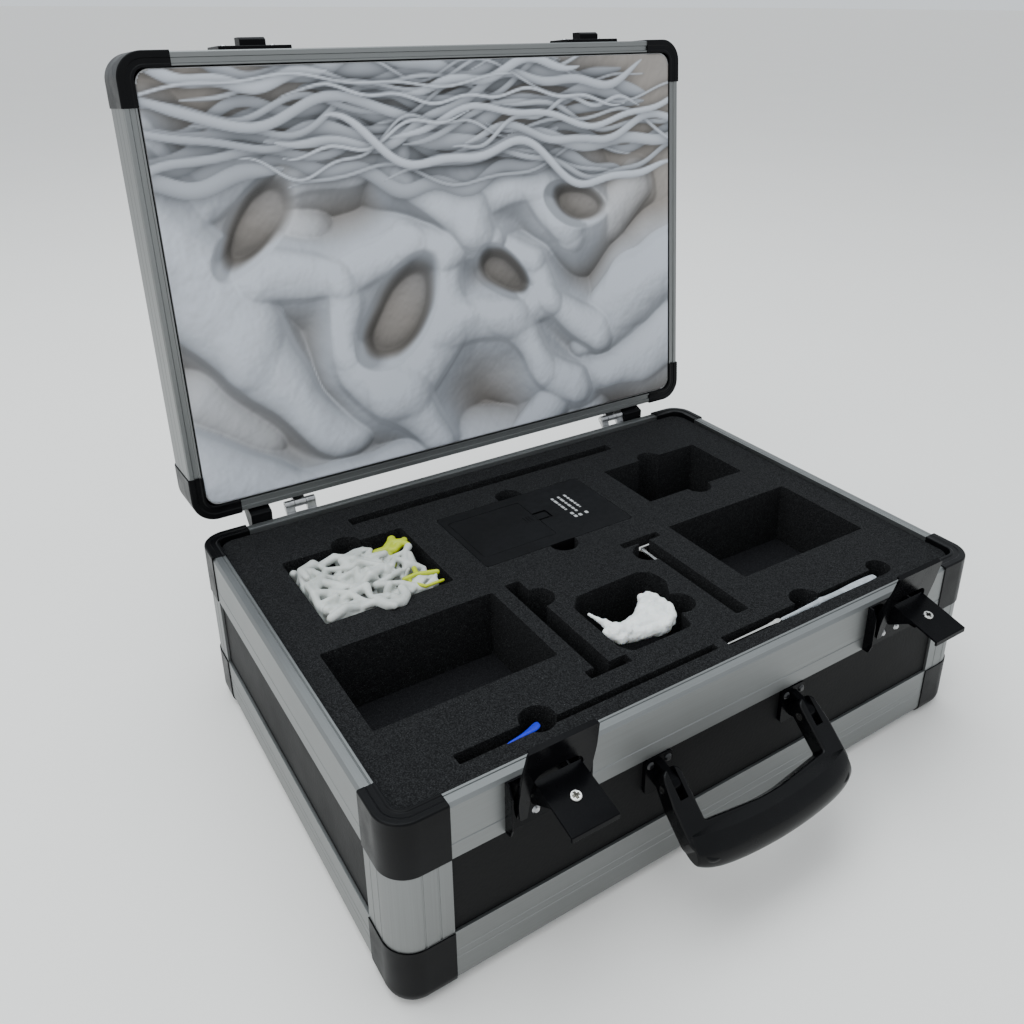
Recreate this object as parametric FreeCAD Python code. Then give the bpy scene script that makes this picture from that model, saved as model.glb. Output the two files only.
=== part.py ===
"""Aluminium-framed carrying case with a die-cut foam insert, a handheld scanner unit and its small kit.

Millimetres. Origin: centre of the base's underside, on the floor. +X right, +Y to the hinges, +Z up.
The lid is drawn closed and then turned open about the hinge axis; the latches and the handle are
drawn in their rest positions. In side views "out" is the distance in front of the case's front face.
"""
import FreeCAD, Part
import math
import os

V = FreeCAD.Vector
X_AXIS, Y_AXIS, Z_AXIS = V(1, 0, 0), V(0, 1, 0), V(0, 0, 1)

# ---------------------------------------------------------------- driving dimensions
CASE_W, CASE_D = 460.0, 325.0          # outside width and depth
RIM_Z = 129.2                          # top of the base's rim rails
MEET_Z = 130.0                         # the base's corner caps end here
CLOSED_GAP = 0.3                       # between the closed lid's caps and the base's caps
LID_TOP = 180.0                        # outside of the closed lid
RIM_H, EDGE_H = 35.9, 40.5             # heights of the rim rail and of the bottom edge rail
WALL = 2.0                             # extrusion wall
RIM_T = 9.0                            # width of the rim seen from above
EDGE_LEG = 40.0                        # bottom edge rail's leg under the case
EDGE_R = 10.0                          # its outer rounding
PANEL_T = 4.5                          # side, bottom and top panels
CORNER_R = 17.0                        # plan radius of the case's corners
CAP_REACH = 34.0                       # how far a corner cap runs along each side
CAP_SKIN = 0.8                         # how proud a cap stands of the rails
CAP_T = 9.8                            # how far a cap reaches inwards over the rim
FOAM_IN, FOAM_R = 10.0, 12.0           # foam: distance inside the case's faces, corner radius
FOAM_TOP, FOAM_FLOOR = 126.0, 76.0     # top layer and the floor of its cut-outs
LID_OPEN = 94.7                        # degrees between the closed lid and its stop
HINGE_OUT, HINGE_Z = 5.7, 133.5        # hinge axis behind the back face, and its height
HINGE_X, HINGE_LEN = 151.5, 24.0       # hinge middles left and right, barrel length
BARREL_R, PIN_R, PIN_PLAY = 3.2, 1.2, 0.05
LATCH_X = (-139.0, 141.0)              # middles of the two latches
LATCH_PIVOT = (6.5, 118.0)             # (out, z) of a lever's pin on its plate
PLATE_HALF, PLATE_T = 25.5, 1.2        # a latch plate's half width and its sheet's thickness
HASP_TILT = 11.6                       # degrees the raised hasp leans out
HANDLE_OUT, HANDLE_Z = 13.0, 80.0      # handle pivot
HANDLE_MID = -5.3                      # the handle sits a little left of the case's middle
HANDLE_X = 55.5                        # from the handle's middle to each arm's pivot
HANDLE_DROOP = 40.5                    # degrees below level at its lower stop
UNIT_X, UNIT_Y = (-70.0, 60.0), (18.0, 96.0)   # the scanner unit's outline in the foam
UNIT_H = 30.0

HW, HD = CASE_W / 2, CASE_D / 2
RIM_BASE_Z = RIM_Z - RIM_H
LID_LOW = MEET_Z + CLOSED_GAP          # lowest faces of the closed lid
LID_RIM = LID_LOW + CAP_SKIN
HINGE_Y = HD + HINGE_OUT

parts = {}


# ---------------------------------------------------------------- drawing helpers
def place(plane, a, b, c):
    """A point from two numbers in a plane and the height c above it."""
    return {"XY": V(a, b, c), "YZ": V(c, a, b), "XZ": V(a, c, b)}[plane]


def face(points, plane="XY", at=0.0):
    """A flat face through the points; a third number on a point rounds that corner."""
    flat = [V(p[0], p[1], 0) for p in points]
    corners = []
    for i, here in enumerate(flat):
        radius = points[i][2] if len(points[i]) > 2 else 0
        if not radius:
            corners.append((here, None, here))
            continue
        back = (flat[i - 1] - here).normalize()
        ahead = (flat[(i + 1) % len(flat)] - here).normalize()
        half = back.getAngle(ahead) / 2
        inward = (back + ahead).normalize()
        reach = radius / math.tan(half)
        middle = here + inward * (radius / math.sin(half) - radius)
        corners.append((here + back * reach, middle, here + ahead * reach))
    spots = [tuple(p and place(plane, p.x, p.y, at) for p in c) for c in corners]
    edges = []
    for i, (start, middle, end) in enumerate(spots):
        if middle:
            edges.append(Part.Arc(start, middle, end).toShape())
        following = spots[(i + 1) % len(spots)][0]
        if (following - end).Length > 1e-6:
            edges.append(Part.makeLine(end, following))
    return Part.Face(Part.Wire(edges))


def prism(points, plane, start, end):
    """The face through the points, drawn out from start to end across its plane."""
    return face(points, plane, start).extrude(place(plane, 0, 0, end - start))


def block(x, y, z):
    """A box from three (low, high) pairs."""
    return Part.makeBox(x[1] - x[0], y[1] - y[0], z[1] - z[0], V(x[0], y[0], z[0]))


def slab(x, y, z, radius):
    """A box whose upright edges are rounded."""
    plan = [(x[0], y[0], radius), (x[1], y[0], radius), (x[1], y[1], radius), (x[0], y[1], radius)]
    return prism(plan, "XY", z[0], z[1])


def rod(radius, start, end):
    """A cylinder between two points."""
    line = end - start
    return Part.makeCylinder(radius, line.Length, start, line)


def fused(*shapes):
    whole = shapes[0].multiFuse(list(shapes[1:])) if len(shapes) > 1 else shapes[0]
    return whole.removeSplitter()


def less(shape, *tools):
    return shape.cut(Part.makeCompound(list(tools)))


def flip_x(shape):
    return shape.mirror(V(0, 0, 0), X_AXIS)


def flip_y(shape):
    return shape.mirror(V(0, 0, 0), Y_AXIS)


def moved(shape, x=0.0, y=0.0, z=0.0):
    copy = shape.copy()
    copy.translate(V(x, y, z))
    return copy


def turned(shape, centre, axis, degrees):
    copy = shape.copy()
    copy.rotate(centre, axis, degrees)
    return copy


def front(points):
    """Side-view points given as (out, z) become (y, z) in front of the case."""
    return [(-HD - p[0],) + tuple(p[1:]) for p in points]


def group(shapes):
    return Part.makeCompound(list(shapes))


# ---------------------------------------------------------------- rails: sections as (inward, z)
GROOVE = 0.4                           # fine lines run along every rail
SHOULDER = 1.8                         # slope at the base rim's outer top edge
LIP_H = 14.0                           # inner lip under the rim


def groove(z, up=1):
    """Three points of a fine V line in an outer face, listed going up (or down)."""
    return [(0, z - 0.5 * up), (GROOVE, z), (0, z + 0.5 * up)]


def rim_section():
    z0, top = RIM_BASE_Z, RIM_Z
    outside = [(0, z0)] + groove(z0 + 10) + [(0, top - SHOULDER), (SHOULDER, top)]
    over = [(6.6, top), (6.9, top - 0.6), (7.3, top - 0.6), (7.6, top), (RIM_T, top)]
    inside = [(RIM_T, top - LIP_H), (7.4, top - LIP_H), (7.4, top - 2.6), (WALL, top - 2.6)]
    inside.append((WALL, z0))
    return outside + over + inside


def edge_section():
    lines = groove(26.9, -1) + groove(21.3, -1)
    foot = [(0, 0, EDGE_R), (EDGE_LEG, 0), (EDGE_LEG, WALL)]
    return [(0, EDGE_H)] + lines + foot + [(WALL, WALL, EDGE_R - WALL), (WALL, EDGE_H)]


def lid_section():
    low, top = LID_RIM, LID_TOP
    over = [(RIM_T, low), (7.8, low), (7.4, low + 1), (4.2, low + 1), (3.8, low)]
    over += [(0.8, low), (0, low + 0.8)]
    lines = groove(low + 14) + groove(low + 25)
    crown = [(0, top, EDGE_R), (EDGE_LEG, top), (EDGE_LEG, top - WALL)]
    inside = [(WALL, top - WALL, EDGE_R - WALL), (WALL, low + 2.6), (7.4, low + 2.6)]
    return over + lines + crown + inside + [(7.4, low + LIP_H), (RIM_T, low + LIP_H)]


def rails(section):
    """Front, back and left rails of one section; the left one gives way to the others at the corners."""
    length, depth = HW - CORNER_R, HD - CORNER_R
    front_rail = prism([(p[0] - HD,) + tuple(p[1:]) for p in section], "YZ", -length, length)
    side = prism([(p[0] - HW,) + tuple(p[1:]) for p in section], "XZ", -depth, depth)
    back_rail = flip_y(front_rail)
    left = less(side, front_rail, back_rail)
    return front_rail, back_rail, left


def four_corners(cap):
    """The cap drawn at the front left, and its mirror images."""
    behind = flip_y(cap)
    return {"front_left": cap, "front_right": flip_x(cap),
            "back_left": behind, "back_right": flip_x(behind)}


def corner_piece(core, leg):
    """A moulded corner at the front left: the core section turned round it, and a thinner leg each way."""
    at_corner = V(-HW, -HD, 0)
    round_part = face(core, "XZ", CORNER_R).revolve(V(CORNER_R, CORNER_R, 0), Z_AXIS, 90)
    left_leg = prism(leg, "XZ", CORNER_R, CAP_REACH)
    front_leg = prism(leg, "YZ", CORNER_R, CAP_REACH)
    piece = fused(round_part, left_leg, front_leg)
    piece.translate(at_corner)
    return piece


def ridged_top(z, dip):
    """Ridges of a cap over the rim, from outside to inside; dip is the way the grooves go."""
    return [(3.6, z), (4.2, z + dip), (7.4, z + dip), (8.0, z), (CAP_T, z, 0.6)]


def base_frame():
    front_rail, back_rail, left = rails(rim_section())
    parts["base_rim_front"], parts["base_rim_back"] = front_rail, back_rail
    parts["base_rim_sides"] = group([left, flip_x(left)])
    front_edge, back_edge, left_edge = rails(edge_section())
    parts["base_edge_front"], parts["base_edge_back"] = front_edge, back_edge
    parts["base_edge_sides"] = group([left_edge, flip_x(left_edge)])

    reach, wall_r = CAP_REACH, CORNER_R - WALL
    plan = [(0, reach), (0, 0, CORNER_R), (reach, 0), (reach, WALL), (WALL, WALL, wall_r), (WALL, reach)]
    post = prism(plan, "XY", EDGE_H, RIM_BASE_Z)
    for along in (CORNER_R, reach - 8):
        line = (along - 0.5, along + 0.5)
        post = less(post, block(line, (-1, GROOVE), (0, MEET_Z)), block((-1, GROOVE), line, (0, MEET_Z)))
    post.translate(V(-HW, -HD, 0))
    parts["base_posts"] = group(four_corners(post).values())

    skin = -CAP_SKIN
    core = [(skin, RIM_BASE_Z), (skin, MEET_Z, 1.2)] + ridged_top(MEET_Z, -0.6) + [(CAP_T, RIM_BASE_Z)]
    leg = core[:-1] + [(CAP_T, RIM_Z - 8), (RIM_T, RIM_Z - 8), (RIM_T, RIM_Z), (0, RIM_Z),
                       (0, RIM_BASE_Z)]
    for name, cap in four_corners(corner_piece(core, leg)).items():
        parts["base_top_corner_" + name] = cap

    low, sole = -CAP_SKIN, 6.0         # the sole is cut off flat at the ground
    outside = [(skin, EDGE_H), (skin, low, EDGE_R + CAP_SKIN)]
    core = outside + [(CORNER_R, low), (CORNER_R, sole), (CAP_T, sole), (CAP_T, EDGE_H)]
    under = CORNER_R - 4
    leg = outside + [(under, low), (under, 0), (0, 0, EDGE_R), (0, EDGE_H)]
    ground = block((-HW - 5, HW + 5), (-HD - 5, HD + 5), (-5, 0))
    foot = less(corner_piece(core, leg), ground)
    parts["base_bottom_corners"] = group(four_corners(foot).values())


def base_panels():
    x, y = HW - CORNER_R, HD - CORNER_R
    front_t = (-HD + WALL, -HD + WALL + PANEL_T)
    left_t = (-HW + WALL, -HW + WALL + PANEL_T)
    height = (EDGE_R, RIM_Z - 2.6)
    front_panel = block((-x, x), front_t, height)
    left_panel = block(left_t, (-y, y), height)
    parts["base_panel_front"], parts["base_panel_back"] = front_panel, flip_y(front_panel)
    parts["base_panel_left"], parts["base_panel_right"] = left_panel, flip_x(left_panel)
    inner = block((EDGE_LEG - HW, HW - EDGE_LEG), (EDGE_LEG - HD, HD - EDGE_LEG), (0, WALL + PANEL_T))
    rebate = block((EDGE_R - HW, HW - EDGE_R), (EDGE_R - HD, HD - EDGE_R), (WALL, WALL + PANEL_T))
    parts["base_panel_bottom"] = less(fused(inner, rebate), parts["base_bottom_corners"])


# ---------------------------------------------------------------- foam insert and its cut-outs
NOTCH_R = 11.0
SLOT_END, SLOT_END_R = (162.4, -132.4), 8.6    # the long tool slot's round end
BIG_POCKETS = {"left": ((-205, -83), (-90.5, -11)), "right": ((74, 196), (-90.5, -8.5)),
               "corner": ((87.5, 187), (30, 92.5)), "lattice": ((-190, -97.5), (16, 101))}
BACK_SLOT = ((-126.5, 120.5), (124.7, 134.5))
TEE_STEMS = {"left": ((-72, -60.5), (-113, -8.8)), "right": ((38.8, 49.8), (-119, -13))}
TEE_HEADS = {"left": ((-79, -48), (-120, -112.5)), "right": ((26.5, 61), (-15, -8.8))}
TOOL_SLOTS = (((-177, -124), (-138, -130)), ((-124, 4), (-139.5, -134.5)), ((12, 164), (-141, -132)))
NOTCHES = ((-141.5, 101), (137, 92), (138, 30), (-3, 99), (-6, 16), (-59.5, -33), (38, -28),
           (15.5, -89), (-124, -131), (90, -131))
FRAGMENT_POCKET = [(-38, -46, 5), (14, -44.5, 6), (23, -50, 6), (25, -64, 5), (13, -84, 4), (6, -113, 5),
                   (-42, -113, 5), (-47, -104, 4), (-47, -56, 5)]


def foam():
    x, y = (FOAM_IN - HW, HW - FOAM_IN), (FOAM_IN - HD, HD - FOAM_IN)
    parts["foam_lower_layer"] = slab(x, y, (WALL + PANEL_T, FOAM_FLOOR), FOAM_R)
    cuts = (FOAM_FLOOR - 1, FOAM_TOP + 1)
    tools = [slab(px, py, cuts, 1.5) for px, py in BIG_POCKETS.values()]
    tools += [slab(px, py, cuts, 1.0) for px, py in (BACK_SLOT,) + TOOL_SLOTS]
    tools += [slab(*TEE_STEMS[side], cuts, 1.0) for side in TEE_STEMS]
    tools += [slab(*TEE_HEADS[side], cuts, 1.0) for side in TEE_HEADS]
    tools += [Part.makeCylinder(NOTCH_R, cuts[1] - cuts[0], V(nx, ny, cuts[0])) for nx, ny in NOTCHES]
    tools.append(prism(FRAGMENT_POCKET, "XY", *cuts))
    tools.append(Part.makeCylinder(SLOT_END_R, cuts[1] - cuts[0], V(*SLOT_END, cuts[0])))
    play = 0.4
    unit_x, unit_y = (UNIT_X[0] - play, UNIT_X[1] + play), (UNIT_Y[0] - play, UNIT_Y[1] + play)
    tools.append(slab(unit_x, unit_y, (FOAM_TOP - UNIT_H - play, cuts[1]), 3.0))
    layer = slab(x, y, (FOAM_FLOOR, FOAM_TOP), FOAM_R)
    parts["foam_top_layer"] = less(layer, fused(*tools))


# ---------------------------------------------------------------- lid, drawn closed
def lid():
    front_rail, back_rail, left = rails(lid_section())
    parts["lid_rail_front"], parts["lid_rail_back"] = front_rail, back_rail
    parts["lid_rail_sides"] = group([left, flip_x(left)])
    skin, top = -CAP_SKIN, LID_TOP + CAP_SKIN
    over = list(reversed(ridged_top(LID_LOW, 0.6)))
    outer = [(skin, LID_LOW, 1.0), (skin, top, EDGE_R + CAP_SKIN)]
    core = over + outer + [(CORNER_R, top), (CORNER_R, top - 6), (CAP_T, top - 6)]
    leg = over + outer + [(CAP_REACH, top), (CAP_REACH, LID_TOP), (0, LID_TOP, EDGE_R), (0, LID_RIM),
                          (RIM_T, LID_RIM), (RIM_T, LID_RIM + 8), (CAP_T, LID_RIM + 8)]
    crown = block((CORNER_R, CAP_REACH), (CORNER_R, CAP_REACH), (LID_TOP, top))
    corner = fused(corner_piece(core, leg), moved(crown, -HW, -HD))
    caps = four_corners(corner)
    for name, cap in caps.items():
        parts["lid_corner_" + name] = cap
    x, y = (EDGE_R - HW, HW - EDGE_R), (EDGE_R - HD, HD - EDGE_R)
    panel_z = (LID_TOP - WALL - PANEL_T, LID_TOP - WALL)
    parts["lid_top_panel"] = less(block(x, y, panel_z), *caps.values())
    board_z = (LID_RIM + 0.8, LID_RIM + 3.8)
    board_in = 0.2
    parts["lid_print_board"] = slab((x[0] + board_in, x[1] - board_in), (y[0] + board_in, y[1] - board_in),
                                    board_z, FOAM_R - 2)
    parts["lid_foam_pad"] = slab(x, y, (board_z[1], panel_z[0]), FOAM_R)


# ---------------------------------------------------------------- hinges, pins and lid stops
RIVET_HEAD_R, RIVET_HEAD_H, RIVET_R = 2.6, 1.1, 1.5
LEAF_T = 1.5


def rivet(x, out, z, depth, side):
    """A domed rivet through a plate on the front (side -1) or back (side 1) face, and the hole it fills."""
    seat = V(x, side * (HD + out), z)
    outward = V(0, side, 0)
    head = Part.makeCone(RIVET_HEAD_R, RIVET_HEAD_R * 0.6, RIVET_HEAD_H, seat, outward)
    shank = rod(RIVET_R, seat - outward * depth, seat)
    return fused(head, shank), shank


def set_rivets(spots, plates, rail, depth, side, out):
    """Rivets at (x, z) spots; their shanks are cut out of the plates and the rail behind them."""
    made = [rivet(x, out, z, depth, side) for x, z in spots]
    holes = [hole for _, hole in made]
    for node in plates + [rail]:
        parts[node] = less(parts[node], *holes)
    return [piece for piece, _ in made]


def hinges():
    barrel = (HINGE_Y, HINGE_Z)
    gap = 0.3
    lid_half = 4.5
    base_spans = ((-HINGE_LEN / 2, -lid_half - gap), (lid_half + gap, HINGE_LEN / 2))
    base_top, lid_foot = RIM_Z - 1.2, 138.5
    base_web = [(HD, 125), (HD + 2, 125), (barrel[0] + 3, barrel[1] - 1), barrel,
                (barrel[0] - 3, barrel[1] - 1), (HD + LEAF_T, base_top), (HD, base_top)]
    lid_web = [(HD, 142), (HD, lid_foot), (barrel[0] - 3, barrel[1] + 1), barrel,
               (barrel[0] + 2, barrel[1] + 2.4), (HD + LEAF_T, 142)]
    base_leaves, lid_leaves, pins = [], [], []
    for middle in (-HINGE_X, HINGE_X):
        bore = rod(PIN_R + PIN_PLAY, V(middle - 20, *barrel), V(middle + 20, *barrel))
        leaf_x = (middle - HINGE_LEN / 2, middle + HINGE_LEN / 2)
        base_leaf = [block(leaf_x, (HD, HD + LEAF_T), (104, base_top))]
        for low, high in base_spans:
            base_leaf.append(prism(base_web, "YZ", middle + low, middle + high))
            base_leaf.append(rod(BARREL_R, V(middle + low, *barrel), V(middle + high, *barrel)))
        base_leaves.append(less(fused(*base_leaf), bore))
        lid_leaf = [block(leaf_x, (HD, HD + LEAF_T), (lid_foot, 162))]
        lid_leaf.append(prism(lid_web, "YZ", middle - lid_half, middle + lid_half))
        lid_leaf.append(rod(BARREL_R, V(middle - lid_half, *barrel), V(middle + lid_half, *barrel)))
        lid_leaves.append(less(fused(*lid_leaf), bore))
        pins.append(rod(PIN_R, V(leaf_x[0] - 0.4, *barrel), V(leaf_x[1] + 0.4, *barrel)))
    parts["hinge_base_leaves"], parts["hinge_lid_leaves"] = group(base_leaves), group(lid_leaves)
    parts["hinge_pins"] = group(pins)


def lid_stops():
    """Black lugs behind the lid's back rail; they land flat on the case's back when the lid is open."""
    turn = math.radians(LID_OPEN)
    clear = HINGE_OUT - 0.3

    def closed_place(height):
        """Where a point of the landing face, at this height when open, lies when the lid is shut."""
        y = -clear * math.cos(turn) - height * math.sin(turn)
        z = -clear * math.sin(turn) + height * math.cos(turn)
        return HINGE_Y + y, HINGE_Z + z
    inner, outer = closed_place(2.0), closed_place(-11.0)
    outline = [(HD, 137), inner, (outer[0], outer[1], 1), (outer[0], 139, 2), (HD + 4, 150, 2), (HD, 152)]
    lugs = [prism(outline, "YZ", low, high) for low, high in ((-191, -175), (164, 184))]
    parts["lid_stops"] = group(lugs)


CATCH_HALF, CATCH_T = 25.0, 2.5


def lid_catches():
    """Black keeper plates on the lid's front rail, each with the raised block that the hasp hooks over."""
    catches = []
    for x in LATCH_X:
        plate = front([(0, 133.5), (CATCH_T, 133.5, 1), (CATCH_T, 160, 1), (0, 160)])
        plate = prism(plate, "YZ", x - CATCH_HALF, x + CATCH_HALF)
        keeper = front([(2.0, 139), (6.5, 139, 1), (8, 142, 1), (8, 149.8), (2.0, 149.8)])
        catches.append(fused(plate, prism(keeper, "YZ", x - 9, x + 9)))
    parts["lid_catches"] = group(catches)


# ---------------------------------------------------------------- latches
ECCENTRIC = 4.0                        # the hasp hangs this far from the lever's pin
ECCENTRIC_UP = 68.0                    # degrees above level, raised
HASP_OUT = 1.9                         # hasp's outer face in front of its pivots
HASP_T = 1.5
FLAP_HALF = 14.5
EAR_OUT = 12.2                         # the plate's ears stand inside the flap's cheeks
CHEEK_T = 1.2
PIN_LATCH_R = 1.5
STUB_R, STUB_END = 1.3, 17.2           # the hasp's stub pins, and where they end either side of the middle


def polar(centre, radius, degrees):
    turn = math.radians(degrees)
    return centre[0] + radius * math.cos(turn), centre[1] + radius * math.sin(turn)


HASP_PIVOT = polar(LATCH_PIVOT, ECCENTRIC, ECCENTRIC_UP)


def latch_line(x, where, half):
    """A line across a latch at (out, z) = where."""
    return V(x - half, -HD - where[0], where[1]), V(x + half, -HD - where[0], where[1])


def latch_plate(x):
    low, high, half = RIM_BASE_Z + 0.2, RIM_Z - SHOULDER - 0.2, PLATE_HALF
    sheet = block((x - half, x + half), (-HD - PLATE_T, -HD), (low, high))
    wing = front([(0, low), (5, low, 2), (7, low + 6, 2), (7, high - 6, 3), (4, high), (0, high)])
    wings = [prism(wing, "YZ", x + side, x + side + PLATE_T) for side in (-half, half - PLATE_T)]
    pivot = LATCH_PIVOT
    ear = front([(1, 112), (pivot[0] + 4, 113.5, 3.8), (pivot[0] + 4, 122.3, 3.8), (1, 125)])
    ears = [prism(ear, "YZ", x + side, x + side + PLATE_T) for side in (-EAR_OUT, EAR_OUT - PLATE_T)]
    return less(fused(sheet, *wings, *ears), rod(PIN_LATCH_R, *latch_line(x, pivot, 20)))


FLAP_IN, FLAP_OUT = (10.5, 130.5), (45.0, 122.8)    # (out, z) of the raised flap's upper face at its ends
FLAP_T = 1.5
FLAP_SLOPE = math.degrees(math.atan2(FLAP_IN[1] - FLAP_OUT[1], FLAP_OUT[0] - FLAP_IN[0]))


def flap_height(out):
    """Height of the raised flap's upper face at this distance in front of the case."""
    return FLAP_IN[1] - (out - FLAP_IN[0]) * math.tan(math.radians(FLAP_SLOPE))


def latch_lever(x):
    """The raised flap with its two cheeks; the stubs on the cheeks carry the hasp."""
    lip = FLAP_OUT[0] - 1.4
    flap = front([FLAP_IN, FLAP_OUT + (0.6,), (FLAP_OUT[0], FLAP_OUT[1] - 3.2), (lip, FLAP_OUT[1] - 3.2),
                  (lip, flap_height(lip) - FLAP_T), (FLAP_IN[0], FLAP_IN[1] - FLAP_T)])
    sheet = prism(flap, "YZ", x - FLAP_HALF, x + FLAP_HALF)
    reach = 27.0
    cheek = front([(3.4, 115.6, 2), (9.4, 114.6, 2), (reach, flap_height(reach) - 0.8),
                   (FLAP_IN[0] + 0.2, FLAP_IN[1] - 0.8), (4.4, 121.6, 1.5)])
    cheeks = [prism(cheek, "YZ", x + side, x + side + CHEEK_T)
              for side in (-FLAP_HALF, FLAP_HALF - CHEEK_T)]
    stub_line = (-HD - HASP_PIVOT[0], HASP_PIVOT[1])
    stubs = [rod(STUB_R, V(x + near, *stub_line), V(x + far, *stub_line))
             for near, far in ((-STUB_END, -FLAP_HALF), (FLAP_HALF, STUB_END))]
    bore = rod(PIN_LATCH_R + PIN_PLAY, *latch_line(x, LATCH_PIVOT, 20))
    lock_hole = rod(LOCK_R + 0.2, *lock_axis(x, -3, 3))
    return less(fused(sheet, *cheeks, *stubs), bore, lock_hole)


LOCK_R, RIM_R = 2.8, 3.4
LOCK_OUT = 27.0                        # where the lock's axis meets the raised flap's upper face
LOCK_Z = flap_height(LOCK_OUT)


def lock_axis(x, low, high):
    """Points on the lock's axis, below and above the flap."""
    turn = math.radians(FLAP_SLOPE)
    seat = V(x, -HD - LOCK_OUT, LOCK_Z)
    axis = V(0, -math.sin(turn), math.cos(turn))
    return seat + axis * low, seat + axis * high


def latch_lock(x):
    """Key barrel with a rim, a cross-shaped keyway and a cam under the flap, drawn upright, then tilted."""
    barrel = Part.makeCylinder(LOCK_R, 8.0, V(0, 0, -7.0))
    rim = Part.makeCone(RIM_R, RIM_R - 0.4, 0.9, V(0, 0, 0.2))
    key_half, slit_half, key_floor = 2.1, 0.8, -5.0
    keyway = fused(block((-slit_half, slit_half), (-key_half, key_half), (key_floor, 3)),
                   block((-key_half, key_half), (-slit_half, slit_half), (key_floor, 3)))
    cam = slab((-3, 3), (-3, 6.5), (-8.2, -7.0), 1.0)
    lock = less(fused(barrel, rim, cam), keyway)
    lock.translate(V(x, -HD - LOCK_OUT, LOCK_Z))
    return turned(lock, V(x, -HD - LOCK_OUT, LOCK_Z), X_AXIS, FLAP_SLOPE)


def latch_hasp(x):
    """The arched sheet that hooks over the lid's catch, drawn upright on its pivots and then leant out."""
    out, pivot = HASP_PIVOT[0] + HASP_OUT, HASP_PIVOT
    low, high = pivot[1] - 19.1, pivot[1] + 35.3
    arch = [(x - 20, low, 2), (x + 20, low, 2), (x + 22.5, low + 14, 25), (x + 23, low + 36, 30),
            (x + 21.5, high, 1), (x - 21.5, high, 1), (x - 23, low + 36, 30), (x - 22.5, low + 14, 25)]
    half = 15.6
    window = [(x - half, low - 1), (x + half, low - 1), (x + half, low + 35, 8), (x - half, low + 35, 8)]
    inner, outer = -HD - out + HASP_T, -HD - out
    sheet = less(prism(arch, "XZ", outer, inner), prism(window, "XZ", outer - 1, inner + 1))
    lip = block((x - 20.5, x + 20.5), (outer, outer + 3.4), (high - HASP_T, high))
    back = out - 1.0
    flange = front([(back, pivot[1] + 28), (back - 3.4, pivot[1] + 8, 12), (back - 4.8, pivot[1] - 6, 4),
                    (back - 2.8, pivot[1] - 16, 2), (back, pivot[1] - 17)])
    flanges = [prism(flange, "YZ", x + side, x + side + PLATE_T) for side in (-21.6, 21.6 - PLATE_T)]
    centre = V(x, -HD - pivot[0], pivot[1])
    lug = [(pivot[0] + 0.9, pivot[1] - 4), (pivot[0] + 0.9, pivot[1] + 4),
           (pivot[0] - 3.2, pivot[1] + 2.8, 2.6), (pivot[0] - 3.2, pivot[1] - 2.8, 2.6)]
    lugs = [prism(front(lug), "YZ", x + side, x + side + 1.8) for side in (-STUB_END - 0.3, STUB_END - 1.5)]
    bore = rod(STUB_R + PIN_PLAY, *latch_line(x, pivot, STUB_END + 0.7))
    shape = less(fused(sheet, lip, *flanges, *lugs), bore)
    return turned(shape, centre, X_AXIS, HASP_TILT)


def latches():
    pins = []
    for side, x in zip(("left", "right"), LATCH_X):
        parts["latch_plate_" + side] = latch_plate(x)
        parts["latch_lever_" + side] = latch_lever(x)
        parts["latch_lock_" + side] = latch_lock(x)
        parts["latch_hasp_" + side] = latch_hasp(x)
        pins.append(rod(PIN_LATCH_R, *latch_line(x, LATCH_PIVOT, 15.2)))
    return pins


# ---------------------------------------------------------------- carrying handle
ARM_T = 13.0
ARM_IN, ARM_OUT = 48.5, 64.5           # the arms' sides, from the handle's middle
GRIP_END = 63.0
TONGUE_HALF, SLOT_HALF, SLOT_LOW = 2.5, 2.9, -9.0
PIN_HANDLE_R = 2.5


def grip_section(x):
    """The grip's section at x: flat inside, a crease line above and below, and a barrel outside."""
    share = abs(x) / GRIP_END
    inner = -28.6 + 5.4 * share ** 2
    crease, half = inner - 6.2 + 1.6 * share ** 4, 10.6 - 3.9 * share ** 5
    outer = -53.0 + 6.0 * share ** 2 + 4.0 * share ** 8
    depth = outer - crease
    barrel = [(crease, -half), (crease + depth * 0.4, -half * 0.98), (crease + depth * 0.82, -half * 0.62),
              (outer, 0), (crease + depth * 0.82, half * 0.62), (crease + depth * 0.4, half * 0.98),
              (crease, half)]
    curve = Part.BSplineCurve()
    curve.interpolate([V(x, y, z) for y, z in barrel])
    edge = half - 4.6
    corners = [V(x, *barrel[-1]), V(x, inner, edge), V(x, inner, -edge), V(x, *barrel[0])]
    flats = [Part.makeLine(start, end) for start, end in zip(corners, corners[1:])]
    return Part.Wire([curve.toShape()] + flats)


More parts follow.
